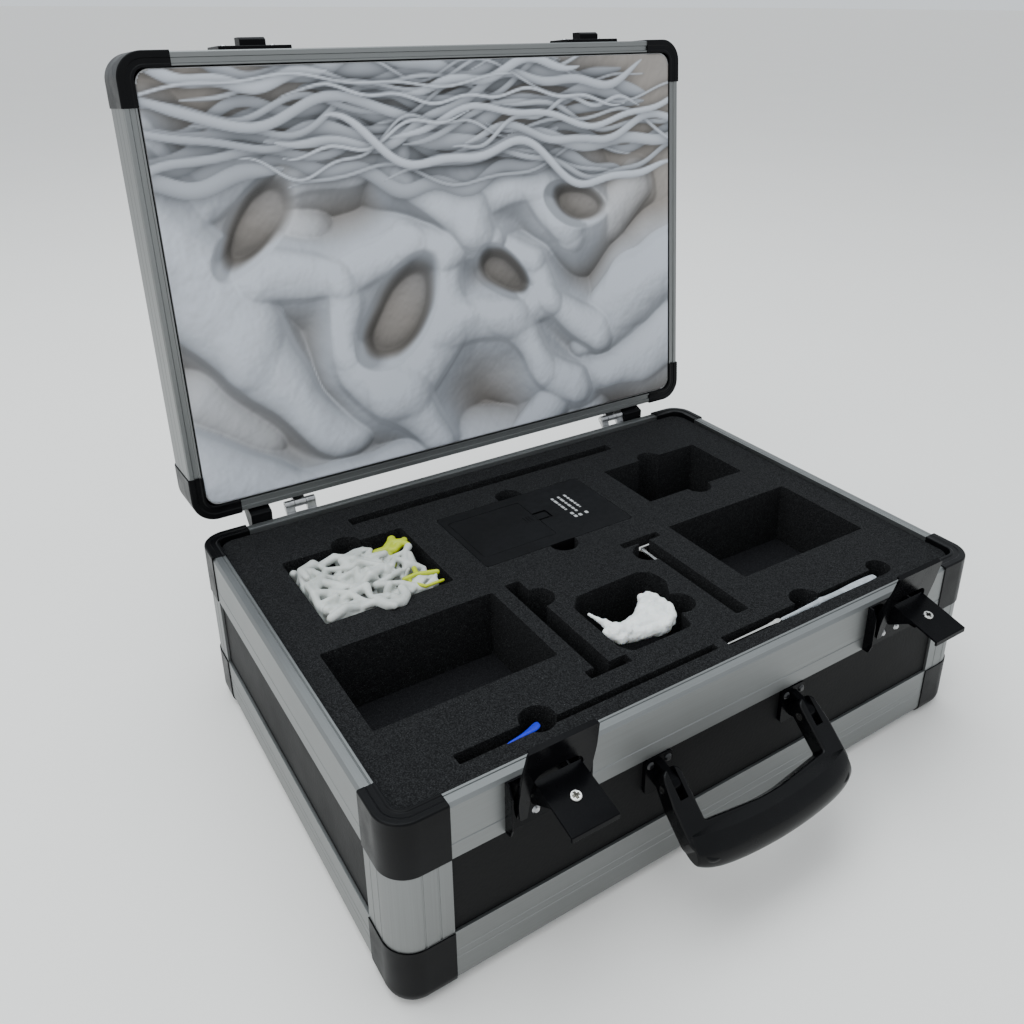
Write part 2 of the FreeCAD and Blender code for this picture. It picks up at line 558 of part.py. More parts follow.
def handle():
    """Drawn level with its pivot at the origin, reaching out along -Y, then drooped and moved to the case."""
    half = [(ARM_IN, 9.5, 5), (ARM_OUT - 2.5, 9.5, 6), (ARM_OUT, -10, 20), (ARM_OUT, -33, 8),
            (57, -45, 8)]
    bow = [(0, -50.5, 150)]
    under = [(-ARM_IN, -23.5, 1.5), (0, -29, 140), (ARM_IN, -23.5, 1.5)]
    mirrored = [(-p[0],) + p[1:] for p in half]
    arms = prism(mirrored + bow + half[::-1] + under[::-1], "XY", -ARM_T / 2, ARM_T / 2)
    rims = [e for e in arms.Edges if abs(abs(e.CenterOfMass.z) - ARM_T / 2) < 0.01]
    arms = arms.makeFillet(2.0, rims)
    stations = [GRIP_END * i / 6 for i in range(-6, 7)]
    grip = Part.makeLoft([grip_section(x) for x in stations], True, False)
    ends = [e for e in grip.Edges if abs(abs(e.CenterOfMass.x) - GRIP_END) < 0.01]
    grip = grip.makeFillet(1.5, ends)
    shape = fused(arms, grip)
    for x in (-HANDLE_X, HANDLE_X):
        slot = block((x - SLOT_HALF, x + SLOT_HALF), (SLOT_LOW, 12), (-ARM_T, ARM_T))
        bore = rod(PIN_HANDLE_R + PIN_PLAY, V(x - 12, 0, 0), V(x + 12, 0, 0))
        shape = less(shape, slot, bore)
    shape = turned(shape, V(0, 0, 0), X_AXIS, HANDLE_DROOP)
    parts["handle_grip"] = moved(shape, HANDLE_MID, -HD - HANDLE_OUT, HANDLE_Z)

    brackets, pins = [], []
    panel = -WALL
    for x in (HANDLE_MID - HANDLE_X, HANDLE_MID + HANDLE_X):
        foot = slab((x - 10, x + 10), (-13, 13), (0, 3), 3)
        foot = moved(turned(foot, V(0, 0, 0), X_AXIS, 90), 0, -HD - panel, HANDLE_Z)
        tongue = front([(panel + 2, HANDLE_Z - 9), (HANDLE_OUT + 5, HANDLE_Z - 5.5, 4.5),
                        (HANDLE_OUT + 5, HANDLE_Z + 5.5, 4.5), (panel + 2, HANDLE_Z + 9)])
        tongue = prism(tongue, "YZ", x - TONGUE_HALF, x + TONGUE_HALF)
        axis = V(x - 7.2, -HD - HANDLE_OUT, HANDLE_Z), V(x + 7.2, -HD - HANDLE_OUT, HANDLE_Z)
        pins.append(rod(PIN_HANDLE_R, *axis))
        brackets.append(less(fused(foot, tongue), pins[-1]))
    parts["handle_brackets"] = group(brackets)
    return pins


# ---------------------------------------------------------------- scanner unit, lying face down in the foam
SHELL_T = 2.0
DOOR_X, DOOR_Y = (-65.0, -3.0), (30.0, 86.0)
DOOR_T = 1.8
WINDOW_X, WINDOW_Y = (16.0, 52.0), (34.0, 80.0)
BUTTON_XY, BUTTON_R = (-20.0, 57.0), 7.0


def scanner_unit():
    top, bottom = FOAM_TOP, FOAM_TOP - UNIT_H
    split = bottom + 16
    inner_x, inner_y = ((low + SHELL_T, high - SHELL_T) for low, high in (UNIT_X, UNIT_Y))
    back = less(slab(UNIT_X, UNIT_Y, (split, top), 3.5),
                slab(inner_x, inner_y, (split - 1, top - SHELL_T), 2.0))
    play = 0.35
    door_hole_x, door_hole_y = (DOOR_X[0] - play, DOOR_X[1] + play), (DOOR_Y[0] - play, DOOR_Y[1] + play)
    ledge = slab((door_hole_x[0] + 2, door_hole_x[1] - 2), (door_hole_y[0] + 2, door_hole_y[1] - 2),
                 (split - 1, top + 1), 2)
    back = less(back, slab(door_hole_x, door_hole_y, (top - DOOR_T - 0.1, top + 1), 2.0), ledge)
    tab_x, tab_y = (DOOR_X[1] + play, 9.5), (53.0, 65.0)
    back = less(back, slab(tab_x, tab_y, (top - 1.2, top + 1), 0.6))
    parts["scanner_back_shell"] = back

    door = slab(DOOR_X, DOOR_Y, (top - DOOR_T, top), 2.0)
    tab = slab((DOOR_X[1] - 1, 7.5), (55.0, 63.0), (top - 0.9, top - 0.2), 0.5)
    first = DOOR_X[1] - 10
    grips = [block((first + step, first + step + 1), (55, 63), (top - 0.5, top + 1))
             for step in (0, 2.4, 4.8)]
    parts["scanner_battery_door"] = less(fused(door, tab), *grips)

    front_shell = less(slab(UNIT_X, UNIT_Y, (bottom, split), 3.5),
                       slab(inner_x, inner_y, (bottom + SHELL_T, split + 1), 2.0),
                       slab(WINDOW_X, WINDOW_Y, (bottom - 1, bottom + SHELL_T + 1), 3.0),
                       Part.makeCylinder(BUTTON_R + 0.4, 6, V(*BUTTON_XY, bottom - 1)))
    parts["scanner_front_shell"] = front_shell
    parts["scanner_window"] = slab(WINDOW_X, WINDOW_Y, (bottom + 0.5, bottom + SHELL_T), 3.0)
    cap = Part.makeCylinder(BUTTON_R, 2.6, V(*BUTTON_XY, bottom + 0.2))
    flange = Part.makeCylinder(BUTTON_R + 1.6, 1.0, V(*BUTTON_XY, bottom + SHELL_T + 0.3))
    parts["scanner_button"] = fused(cap, flange)
    board_z = bottom + 9
    parts["scanner_board"] = slab((-64, 54), (24, 90), (board_z, board_z + 1.6), 2)
    cell_r = 5.2
    cell_z = board_z + 1.6 + cell_r + 0.3
    cells = [rod(cell_r, V(-58, y, cell_z), V(-14, y, cell_z)) for y in (42, 58, 74)]
    parts["scanner_batteries"] = group(cells)


# ---------------------------------------------------------------- small kit in the cut-outs
def kit():
    parts["specimen_lattice"] = slab((-188, -104), (18.5, 96), (101, 131), 9)
    lobes = [(-46, -71, 3), (-30, -70, 5), (-8, -66, 6), (9, -68, 7), (8, -88, 8), (-6, -109, 7),
             (-36, -109, 9), (-44, -88, 6)]
    parts["specimen_fragment"] = prism(lobes, "XY", 108, 130.5)
    blade = [(-165, -136.6), (-146, -136.8, 4), (-126, -137.4, 1.5), (-122, -135, 1.5), (-123, -131.5, 1.5),
             (-146, -133, 4), (-165, -133.6)]
    parts["blue_spatula"] = prism(blade, "XY", 121, 127.5)
    handle_part = rod(3.4, V(80, -136.6, 125), V(128, -136.6, 125))
    shaft = rod(1.2, V(16, -136.6, 125), V(80, -136.6, 125))
    tip = slab((126, 154), (-140, -133.2), (124, 126.6), 2.5)
    parts["clear_tool"] = fused(handle_part, shaft, tip)
    bar = rod(2.4, V(28.5, -11.9, 118), V(58, -11.9, 118))
    shank = rod(2.0, V(44.3, -12, 118), V(44.3, -112, 118))
    parts["tee_probe"] = fused(bar, shank)


def fasteners(pivot_pins):
    parts["pivot_pins"] = group(pivot_pins)
    base_rivets, lid_rivets = [], []
    for x in (-HINGE_X, HINGE_X):
        base_rivets += set_rivets([(x - 8, 113), (x + 8, 113)], ["hinge_base_leaves"], "base_rim_back",
                                  LEAF_T + WALL, 1, LEAF_T)
        lid_rivets += set_rivets([(x - 8, 154), (x + 8, 154)], ["hinge_lid_leaves"], "lid_rail_back",
                                 LEAF_T + WALL, 1, LEAF_T)
    for side, x in zip(("left", "right"), LATCH_X):
        base_rivets += set_rivets([(x - 7, 100), (x + 7, 100)], ["latch_plate_" + side], "base_rim_front",
                                  PLATE_T + WALL, -1, PLATE_T)
        lid_rivets += set_rivets([(x - 17, 150), (x + 17, 150)], ["lid_catches"], "lid_rail_front",
                                 CATCH_T + WALL, -1, CATCH_T)
    for x in (HANDLE_MID - HANDLE_X, HANDLE_MID + HANDLE_X):
        base_rivets += set_rivets([(x - 6.5, 88), (x + 6.5, 88)], ["handle_brackets"], "base_panel_front",
                                  3 + PANEL_T, -1, 3 - WALL)
    parts["base_rivets"], parts["lid_rivets"] = group(base_rivets), group(lid_rivets)


def build():
    base_frame()
    base_panels()
    foam()
    lid()
    hinges()
    lid_stops()
    lid_catches()
    pivot_pins = latches() + handle()
    scanner_unit()
    kit()
    fasteners(pivot_pins)
    lid_nodes = [n for n in parts if n.startswith("lid_")] + ["hinge_lid_leaves"]
    for node in lid_nodes:
        parts[node] = turned(parts[node], V(0, HINGE_Y, HINGE_Z), X_AXIS, -LID_OPEN)


build()
os.makedirs("parts", exist_ok=True)
for node, shape in sorted(parts.items()):
    shape.exportStep(f"parts/{node}.step")
    volume = shape.Volume / 1000
    print(f"{node:28s} {len(shape.Solids):3d} solids {volume:9.2f} cm3 valid {shape.isValid()}")
print(len(parts), "nodes")
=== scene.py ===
import math
import random

import bmesh
import bpy
import numpy as np
from mathutils import Matrix, Vector


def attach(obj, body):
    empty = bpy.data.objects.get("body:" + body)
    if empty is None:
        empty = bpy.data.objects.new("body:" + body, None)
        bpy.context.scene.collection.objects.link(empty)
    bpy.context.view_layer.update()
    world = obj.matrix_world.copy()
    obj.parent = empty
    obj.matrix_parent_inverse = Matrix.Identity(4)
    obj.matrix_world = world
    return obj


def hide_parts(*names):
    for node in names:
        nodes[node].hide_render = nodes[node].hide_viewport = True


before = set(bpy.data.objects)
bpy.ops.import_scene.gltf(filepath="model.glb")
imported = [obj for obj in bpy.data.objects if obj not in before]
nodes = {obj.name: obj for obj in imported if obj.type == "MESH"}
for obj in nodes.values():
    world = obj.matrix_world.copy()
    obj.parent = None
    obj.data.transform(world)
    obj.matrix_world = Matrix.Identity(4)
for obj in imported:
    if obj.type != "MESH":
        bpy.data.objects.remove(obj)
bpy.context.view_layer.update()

MM = 0.001


# ---------------------------------------------------------------- node graphs
class Graph:
    """A material under construction. Every helper takes numbers or sockets and gives a socket back."""

    def __init__(self, name):
        self.material = bpy.data.materials.new(name)
        self.material.use_nodes = True
        self.tree = self.material.node_tree
        self.shader = self.tree.nodes["Principled BSDF"]
        self.place = self.add("ShaderNodeTexCoord").outputs["Object"]

    def add(self, kind, **settings):
        node = self.tree.nodes.new(kind)
        for key, value in settings.items():
            setattr(node, key, value)
        return node

    def put(self, socket, value):
        if isinstance(value, bpy.types.NodeSocket):
            self.tree.links.new(value, socket)
        elif value is not None:
            socket.default_value = value

    def math(self, operation, a, b=None, c=None, clamp=False):
        node = self.add("ShaderNodeMath", operation=operation, use_clamp=clamp)
        for socket, value in zip(node.inputs, (a, b, c)):
            self.put(socket, value)
        return node.outputs[0]

    def vector(self, operation, a, b=None, scale=None):
        node = self.add("ShaderNodeVectorMath", operation=operation)
        self.put(node.inputs[0], a)
        self.put(node.inputs[1], b)
        if scale is not None:
            self.put(node.inputs["Scale"], scale)
        return node.outputs["Value" if operation in ("DOT_PRODUCT", "LENGTH", "DISTANCE") else "Vector"]

    def stretch(self, factors):
        return self.vector("MULTIPLY", self.place, factors)

    def noise(self, scale, detail=2.0, roughness=0.5, where=None):
        node = self.add("ShaderNodeTexNoise")
        self.put(node.inputs["Vector"], where or self.place)
        node.inputs["Scale"].default_value = scale
        node.inputs["Detail"].default_value = detail
        node.inputs["Roughness"].default_value = roughness
        return node.outputs["Fac"]

    def cells(self, scale, feature="F1", where=None):
        node = self.add("ShaderNodeTexVoronoi", feature=feature)
        self.put(node.inputs["Vector"], where or self.place)
        node.inputs["Scale"].default_value = scale
        return node.outputs["Distance"]

    def ramp(self, value, low, high, to_low=0.0, to_high=1.0):
        node = self.add("ShaderNodeMapRange", interpolation_type="SMOOTHSTEP")
        self.put(node.inputs["Value"], value)
        for key, number in (("From Min", low), ("From Max", high), ("To Min", to_low), ("To Max", to_high)):
            self.put(node.inputs[key], number)
        return node.outputs["Result"]

    def mix(self, share, low, high):
        node = self.add("ShaderNodeMix", data_type="RGBA")
        self.put(node.inputs[0], share)
        for socket, value in ((node.inputs[6], low), (node.inputs[7], high)):
            self.put(socket, value if isinstance(value, bpy.types.NodeSocket) else (*value, 1.0))
        return node.outputs[2]

    def bump(self, height, depth, strength=1.0, under=None):
        node = self.add("ShaderNodeBump")
        node.inputs["Strength"].default_value = strength
        node.inputs["Distance"].default_value = depth
        self.put(node.inputs["Height"], height)
        self.put(node.inputs["Normal"], under)
        return node.outputs["Normal"]

    def finish(self, **inputs):
        for key, value in inputs.items():
            socket = self.shader.inputs[key.replace("_", " ")]
            self.put(socket, (*value, 1.0) if socket.type == "RGBA" and isinstance(value, tuple) else value)
        return self.material


def plastic(name, dark, light, rough, grain, depth, specular=0.5, patch=18.0):
    """Moulded plastic or paint: broad mottling, a fine grain in the surface and uneven gloss."""
    g = Graph(name)
    broad = g.noise(patch, 3.0, 0.6)
    fine = g.noise(grain, 2.0, 0.6)
    colour = g.mix(g.ramp(broad, 0.3, 0.7), dark, light)
    gloss = g.ramp(g.noise(patch * 4, 4.0, 0.6), 0.3, 0.75, rough - 0.05, rough + 0.07)
    return g.finish(Base_Color=colour, Roughness=gloss, Specular_IOR_Level=specular,
                    Normal=g.bump(fine, depth))


def aluminium(name, along, dark=(0.195, 0.20, 0.197), light=(0.235, 0.243, 0.243)):
    """Satin anodised extrusion: very fine die lines run along one axis."""
    g = Graph(name)
    lines = [900.0, 900.0, 900.0]
    lines["XYZ".index(along)] = 6.0
    drawn = g.noise(1.0, 3.0, 0.7, g.stretch(lines))
    smudge = g.noise(7.0, 4.0, 0.6)
    shade = g.math("ADD", g.math("MULTIPLY", drawn, 0.4), g.math("MULTIPLY", smudge, 0.6))
    colour = g.mix(g.ramp(shade, 0.25, 0.75), dark, light)
    rough = g.ramp(smudge, 0.3, 0.75, 0.44, 0.54)
    return g.finish(Base_Color=colour, Metallic=1.0, Roughness=rough, Normal=g.bump(drawn, 0.00002, 0.4))


def bright(name, dark, light, rough):
    g = Graph(name)
    wear = g.noise(160.0, 4.0, 0.65)
    colour = g.mix(g.ramp(wear, 0.3, 0.7), dark, light)
    gloss = g.ramp(wear, 0.3, 0.8, rough, rough + 0.12)
    return g.finish(Base_Color=colour, Metallic=1.0, Roughness=gloss, Normal=g.bump(wear, 0.00003))


def foam_surface(name, dark, light, speck):
    """Open-cell foam: pores under a millimetre wide, with a few cell walls catching the light."""
    g = Graph(name)
    pores = g.cells(1150.0)
    clumps = g.noise(420.0, 3.0, 0.6)
    drift = g.noise(14.0, 3.0, 0.5)
    body = g.mix(g.ramp(pores, 0.2, 0.75), light, dark)
    body = g.mix(g.ramp(clumps, 0.3, 0.62, 0.0, 0.55), body, dark)
    glints = g.ramp(g.noise(1500.0, 1.0, 0.5), 0.66, 0.78)
    colour = g.mix(g.math("MULTIPLY", glints, g.ramp(drift, 0.3, 0.7, 0.45, 0.9)), body, speck)
    height = g.math("SUBTRACT", g.math("MULTIPLY", clumps, 0.8), g.math("MULTIPLY", pores, 0.7))
    return g.finish(Base_Color=colour, Roughness=0.95, Specular_IOR_Level=0.12,
                    Normal=g.bump(height, 0.0007, 0.8))


def panel_surface(name, dark, light, specular):
    """Black laminate with a pebbled skin."""
    g = Graph(name)
    pebble = g.cells(520.0, "SMOOTH_F1")
    broad = g.noise(9.0, 4.0, 0.6)
    colour = g.mix(g.ramp(broad, 0.3, 0.7), dark, light)
    rough = g.ramp(broad, 0.3, 0.7, 0.5, 0.62)
    return g.finish(Base_Color=colour, Roughness=rough, Specular_IOR_Level=specular,
                    Normal=g.bump(pebble, 0.00018, 0.5))


def printed_white(name, dark, light):
    """Slightly waxy printed polymer with faint build lines."""
    g = Graph(name)
    layers = g.noise(1.0, 2.0, 0.5, g.stretch((60.0, 60.0, 2600.0)))
    broad = g.noise(60.0, 4.0, 0.6)
    colour = g.mix(g.ramp(broad, 0.3, 0.7), dark, light)
    rough = g.ramp(broad, 0.3, 0.7, 0.34, 0.5)
    height = g.math("ADD", g.math("MULTIPLY", layers, 0.4), g.noise(700.0, 3.0, 0.6))
    return g.finish(Base_Color=colour, Roughness=rough, Normal=g.bump(height, 0.00016, 0.7),
                    Subsurface_Weight=0.12, Subsurface_Radius=(0.004, 0.003, 0.002), Subsurface_Scale=1.0)


def printed_sheet(name, attribute):
    """Printed film: the picture's colours come with the mesh, under a little grit and uneven gloss."""
    g = Graph(name)
    ink = g.add("ShaderNodeAttribute", attribute_name=attribute).outputs["Color"]
    grit = g.noise(1300.0, 3.0, 0.7)
    colour = g.mix(g.ramp(grit, 0.45, 0.8, 0.0, 0.12), ink, (0.22, 0.21, 0.205))
    rough = g.ramp(g.noise(30.0, 3.0, 0.5), 0.3, 0.7, 0.38, 0.46)
    return g.finish(Base_Color=colour, Roughness=rough, Specular_IOR_Level=0.25, Normal=g.bump(grit, 0.00002))


def clear_plastic(name, dark, light, see_through):
    g = Graph(name)
    cloud = g.noise(220.0, 3.0, 0.6)
    colour = g.mix(g.ramp(cloud, 0.3, 0.7), dark, light)
    return g.finish(Base_Color=colour, Roughness=g.ramp(cloud, 0.3, 0.7, 0.08, 0.2),
                    Transmission_Weight=see_through, Normal=g.bump(cloud, 0.00003))


def rivet_finish(name, middle, reach):
    """Bright steel, except for the rivets within reach of the handle's middle, which are painted black."""
    g = Graph(name)
    split = g.add("ShaderNodeSeparateXYZ")
    g.put(split.inputs[0], g.place)
    off = g.math("ABSOLUTE", g.math("SUBTRACT", split.outputs["X"], middle))
    metal = g.math("GREATER_THAN", off, reach)
    wear = g.noise(160.0, 4.0, 0.65)
    steel = g.mix(g.ramp(wear, 0.3, 0.7), (0.28, 0.28, 0.29), (0.5, 0.5, 0.5))
    colour = g.mix(metal, (0.006, 0.006, 0.007), steel)
    return g.finish(Base_Color=colour, Metallic=metal, Roughness=g.ramp(wear, 0.3, 0.8, 0.28, 0.4),
                    Normal=g.bump(wear, 0.00003))


# ---------------------------------------------------------------- the lid's printed picture, in millimetres
PICTURE_STEP = 1.1                      # mm between the picture's points
PICTURE_TONE = 0.95
PICTURE_HALF = (219.6, 151.8)           # half its width and height
PICTURE_CORNER = 9.0                    # the radius of its corners
PICTURE_PROUD = 0.25                    # how far it stands in front of the lid's board
UPPER_STRUTS = [
    ((-36, 74), (22, 38), 11, 22), ((22, 38), (40, 24), 22, 13), ((-36, 74), (-24, 104), 11, 4),
    ((30, 52), (84, 64), 12, 11), ((84, 64), (108, 34), 15, 20), ((108, 34), (112, 20), 20, 15),
]
FRONT_STRUTS = [
    ((-98, 2), (-42, 30), 12, 16), ((-98, 2), (-88, -46), 13, 15), ((-88, -46), (-54, -98), 16, 26),
    ((-54, -98), (-34, -150), 25, 16), ((-54, -98), (-8, -44), 24, 20), ((-8, -44), (-2, 22), 17, 14),
    ((-42, 30), (-2, 22), 16, 18), ((-2, 22), (34, 22), 17, 12), ((34, 22), (74, 0), 12, 15),
    ((74, 0), (84, -44), 15, 16), ((-8, -44), (32, -58), 20, 22), ((32, -58), (70, -96), 21, 15),
    ((32, -58), (84, -44), 20, 16), ((70, -96), (112, -122), 15, 18), ((84, -44), (140, -74), 15, 18),
    ((-98, 2), (-160, 6), 11, 20),
]
MIDDLE_STRUTS = [
    ((-240, 62), (-172, -30), 46, 31), ((-172, -30), (-96, -116), 30, 17),
    ((-240, -118), (-140, -152), 44, 24), ((-140, -152), (-20, -170), 24, 22),
    ((120, -82), (186, -44), 18, 40), ((186, -44), (240, -26), 40, 46),
    ((22, -170), (78, -124), 14, 21), ((78, -124), (150, -112), 21, 19), ((150, -112), (240, -92), 19, 30),
    ((-206, 104), (-190, 64), 9, 16), ((-190, 64), (-146, 84), 16, 18), ((-140, 62), (-40, 92), 6, 11),
]
BACK_STRUTS = [
    ((-128, 30), (-104, -60), 30, 22), ((-64, -30), (-24, -8), 12, 15), ((20, -40), (50, 20), 13, 9),
    ((96, -70), (112, 20), 16, 22), ((130, 20), (176, 50), 30, 20), ((-100, -176), (110, -150), 48, 40),
    ((150, 40), (158, 8), 12, 8), ((-214, -60), (-170, -100), 30, 26), ((0, 60), (-60, 110), 30, 40),
]
LAYERS = ((BACK_STRUTS, -44.0), (MIDDLE_STRUTS, -16.0), (FRONT_STRUTS, 0.0), (UPPER_STRUTS, 10.0))
# Middle, half width, half height and lean in degrees.
HOLES = ((-46, -26, 21, 37, -30), (43, -12, 14, 24, 26), (120, 44, 13, 24, 70), (-154, 44, 13, 34, -42))
FLOOR_HEIGHT = -60.0
THREADS, THREAD_BAND = 44, (60.0, 148.0)


def soft_noise(rng, shape, cell):
    """Smooth seeded noise between 0 and 1 on a grid; cell is its grain in grid steps."""
    rows, cols = int(shape[0] / cell) + 3, int(shape[1] / cell) + 3
    knots = rng.random((rows, cols))
    y, x = np.arange(shape[0]) / cell, np.arange(shape[1]) / cell
    iy, ix = y.astype(int), x.astype(int)
    fy, fx = y - iy, x - ix
    fy, fx = (fy * fy * (3 - 2 * fy))[:, None], (fx * fx * (3 - 2 * fx))[None, :]
    near = knots[iy][:, ix] * (1 - fx) + knots[iy][:, ix + 1] * fx
    far = knots[iy + 1][:, ix] * (1 - fx) + knots[iy + 1][:, ix + 1] * fx
    return near * (1 - fy) + far * fy


def blurred(field, reach):
    """The field averaged three times over a window, which is close to a Gaussian of that reach."""
    size = max(1, int(reach))
    for _ in range(3):
        for axis in (0, 1):
            padded = np.pad(field, [(size, size) if a == axis else (0, 0) for a in (0, 1)], mode="edge")
            total = np.cumsum(padded, axis=axis)
            lead = np.take(total, range(2 * size, total.shape[axis]), axis=axis)
            tail = np.take(total, range(0, total.shape[axis] - 2 * size), axis=axis)
            field = (lead - tail) / (2 * size)
    return field


def strut_height(u, v, struts, base, blend):
    """Height of blended tapering struts, which falls away steeply outside them."""
    total = np.zeros_like(u)
    for (ax, ay), (bx, by), start_r, end_r in struts:
        run_x, run_y = bx - ax, by - ay
        share = np.clip(((u - ax) * run_x + (v - ay) * run_y) / (run_x ** 2 + run_y ** 2), 0, 1)
        gap = np.hypot(u - ax - share * run_x, v - ay - share * run_y)
        radius = start_r + share * (end_r - start_r)
        inside = np.sqrt(np.clip(radius ** 2 - gap ** 2, 0, None)) * 0.9
        total += np.exp(np.where(gap < radius, inside, -(gap - radius) * 1.6) / blend)
    return base + blend * np.log(total + 1e-12)


def picture_colours():
    """Colour of every point of the lid's picture: a lit relief of struts in layers, under wavy threads."""
    rng = np.random.default_rng(12)
    cols = int(2 * PICTURE_HALF[0] / PICTURE_STEP) + 1
    rows = int(2 * PICTURE_HALF[1] / PICTURE_STEP) + 1
    u = np.linspace(-PICTURE_HALF[0], PICTURE_HALF[0], cols)[None, :].repeat(rows, 0)
    v = np.linspace(-PICTURE_HALF[1], PICTURE_HALF[1], rows)[:, None].repeat(cols, 1)
    shape = (rows, cols)
    warp_u, warp_v = (sum((soft_noise(rng, shape, cell / PICTURE_STEP) - 0.5) * size
                          for cell, size in ((90.0, 26.0), (34.0, 10.0))) for _ in range(2))
    height = FLOOR_HEIGHT + soft_noise(rng, shape, 90.0) * 24
    for struts, base in LAYERS:
        layer = strut_height(u + warp_u, v + warp_v, struts, base, 6.5)
        height = np.maximum(height, layer)
    for hole_u, hole_v, half_u, half_v, lean in HOLES:
        cos, sin = math.cos(math.radians(lean)), math.sin(math.radians(lean))
        off_u, off_v = u + warp_u * 0.7 - hole_u, v + warp_v * 0.7 - hole_v
        out = np.hypot((off_u * cos + off_v * sin) / half_u, (off_v * cos - off_u * sin) / half_v)
        rim = np.clip((1.4 - out) / 0.6, 0, 1)
        through = FLOOR_HEIGHT * 0.8 + 0.3 * (off_u + off_v)
        height = height + (np.minimum(through, height) - height) * rim * rim * (3 - 2 * rim)
    grain = (soft_noise(rng, shape, 2.4) - 0.5) * 0.4 + (soft_noise(rng, shape, 6.0) - 0.5) * 0.8
    slope_v, slope_u = np.gradient(blurred(height, 1) + grain, PICTURE_STEP)
    slope_u, slope_v = np.clip(slope_u, -1.6, 1.6), np.clip(slope_v, -1.6, 1.6)
    lit = (0.34 * slope_u - 0.30 * slope_v + 0.87) / np.sqrt(slope_u ** 2 + slope_v ** 2 + 1)
    hollow = sum(weight * np.clip((blurred(height, reach) - height) / (reach * 2.2), -0.15, 1)
                 for reach, weight in ((3, 0.22), (8, 0.30), (18, 0.40)))
    depth = np.clip(height / FLOOR_HEIGHT, 0, 1)
    tone = (0.58 + 0.42 * np.clip(lit, 0, 1)) * (1 - 0.48 * hollow) * (1 - 0.12 * depth)
    warm = np.clip(depth * 1.3 - 0.1, 0, 1)
    low, high = THREAD_BAND
    tone = tone * (1 - 0.1 * np.clip((v - low + 8) / 20, 0, 1))
    for i in range(THREADS):
        share = i / THREADS
        middle = rng.uniform(low + 4, high + 6)
        thin = i % 2 and share > 0.3
        radius = rng.uniform(1.0, 2.0) if thin else rng.uniform(3.0, 8.5) * (1 - 0.55 * share)
        line = middle + rng.uniform(-0.18, 0.18) * u
        waves = ((rng.uniform(70, 130), rng.uniform(4, 13)), (rng.uniform(26, 50), rng.uniform(1, 5)))
        for reach, size in waves:
            line = line + size * np.sin(u / reach * np.pi + rng.uniform(0, 2 * np.pi))
        start = rng.uniform(-330, 80)
        ends = np.clip(np.minimum(u - start, start + rng.uniform(120, 380) - u) / 30.0, 0, 1)
        width = radius * ends ** 0.5
        offset = (v - line) / np.sqrt(1 + np.gradient(line, PICTURE_STEP, axis=1) ** 2)
        gap = np.abs(offset)
        cast = np.where(ends > 0, np.exp(-np.clip(gap - width, 0, None) / (1.2 + 0.7 * radius)), 0)
        tone = tone * (1 - 0.26 * cast * ends)
        across = np.clip(offset / np.maximum(width, 0.01), -1, 1)
        round_lit = 0.76 + 0.10 * across + 0.16 * np.sqrt(1 - across ** 2)
        cover = np.clip((width - gap) / PICTURE_STEP + 0.5, 0, 1) * (ends > 0)
        tone = tone * (1 - cover) + cover * round_lit * (0.86 + 0.20 * share)
        warm = warm * (1 - cover)
    tone, warm = np.clip(tone, 0.1, 1.0)[..., None], warm[..., None]
    tint = np.array([0.845, 0.865, 0.905]) * (1 - warm) + np.array([0.80, 0.765, 0.735]) * warm
    return u, v, (tone * tint * PICTURE_TONE) ** 2.2


# ---------------------------------------------------------------- finishes on the CAD nodes
HANDLE_MIDDLE, HANDLE_REACH = -5.3, 80.0    # along X, in millimetres

RAIL_X, RAIL_Y, RAIL_Z = (aluminium("rail_along_" + axis.lower(), axis) for axis in "XYZ")
PANEL = panel_surface("laminate_black", (0.004, 0.004, 0.0042), (0.0065, 0.0065, 0.0067), 0.1)
CORNER = plastic("corner_plastic", (0.002, 0.002, 0.0024), (0.004, 0.004, 0.0046), 0.38, 1400.0, 0.00006, 0.1)
LATCH = plastic("latch_paint", (0.0015, 0.0015, 0.002), (0.0028, 0.0028, 0.0034), 0.24, 1100.0, 0.00002, 0.06)
HANDLE = plastic("handle_plastic", (0.0015, 0.0015, 0.0018), (0.003, 0.003, 0.0034), 0.24, 1300.0, 0.00002,
                 0.16)
UNIT = plastic("unit_plastic", (0.0025, 0.0025, 0.0028), (0.004, 0.004, 0.0045), 0.5, 1700.0, 0.00005, 0.12,
               40.0)
CHROME = bright("chrome_plate", (0.62, 0.61, 0.58), (0.80, 0.79, 0.76), 0.10)
STEEL = bright("rivet_steel", (0.28, 0.28, 0.29), (0.5, 0.5, 0.5), 0.28)
RIVETS = rivet_finish("rivet_mixed", HANDLE_MIDDLE * MM, HANDLE_REACH * MM)
FOAM = foam_surface("foam_charcoal", (0.0065, 0.0065, 0.007), (0.028, 0.0285, 0.0295), (0.11, 0.113, 0.115))
# A darker copy of the charcoal foam, with dimmer specks, for the lower layer at the pockets' floors: painted
# shade standing in for the shade deep in the pockets.
FOAM_PAINTED_SHADE = foam_surface("foam_floor", (0.006, 0.006, 0.007), (0.02, 0.02, 0.022), (0.05, 0.05, 0.052))
WHITE = printed_white("printed_white", (0.48, 0.50, 0.47), (0.62, 0.64, 0.61))
BONE = printed_white("bone_white", (0.80, 0.82, 0.80), (0.90, 0.92, 0.90))
YELLOW = printed_white("painted_yellow", (0.38, 0.46, 0.003), (0.50, 0.57, 0.005))
BLUE = plastic("spatula_blue", (0.0, 0.008, 0.42), (0.0, 0.016, 0.62), 0.3, 600.0, 0.00005, 0.3)
PALE = clear_plastic("pale_tip", (0.35, 0.42, 0.40), (0.5, 0.56, 0.54), 0.35)
CLEAR = clear_plastic("clear_plastic", (0.55, 0.60, 0.64), (0.78, 0.82, 0.86), 0.45)
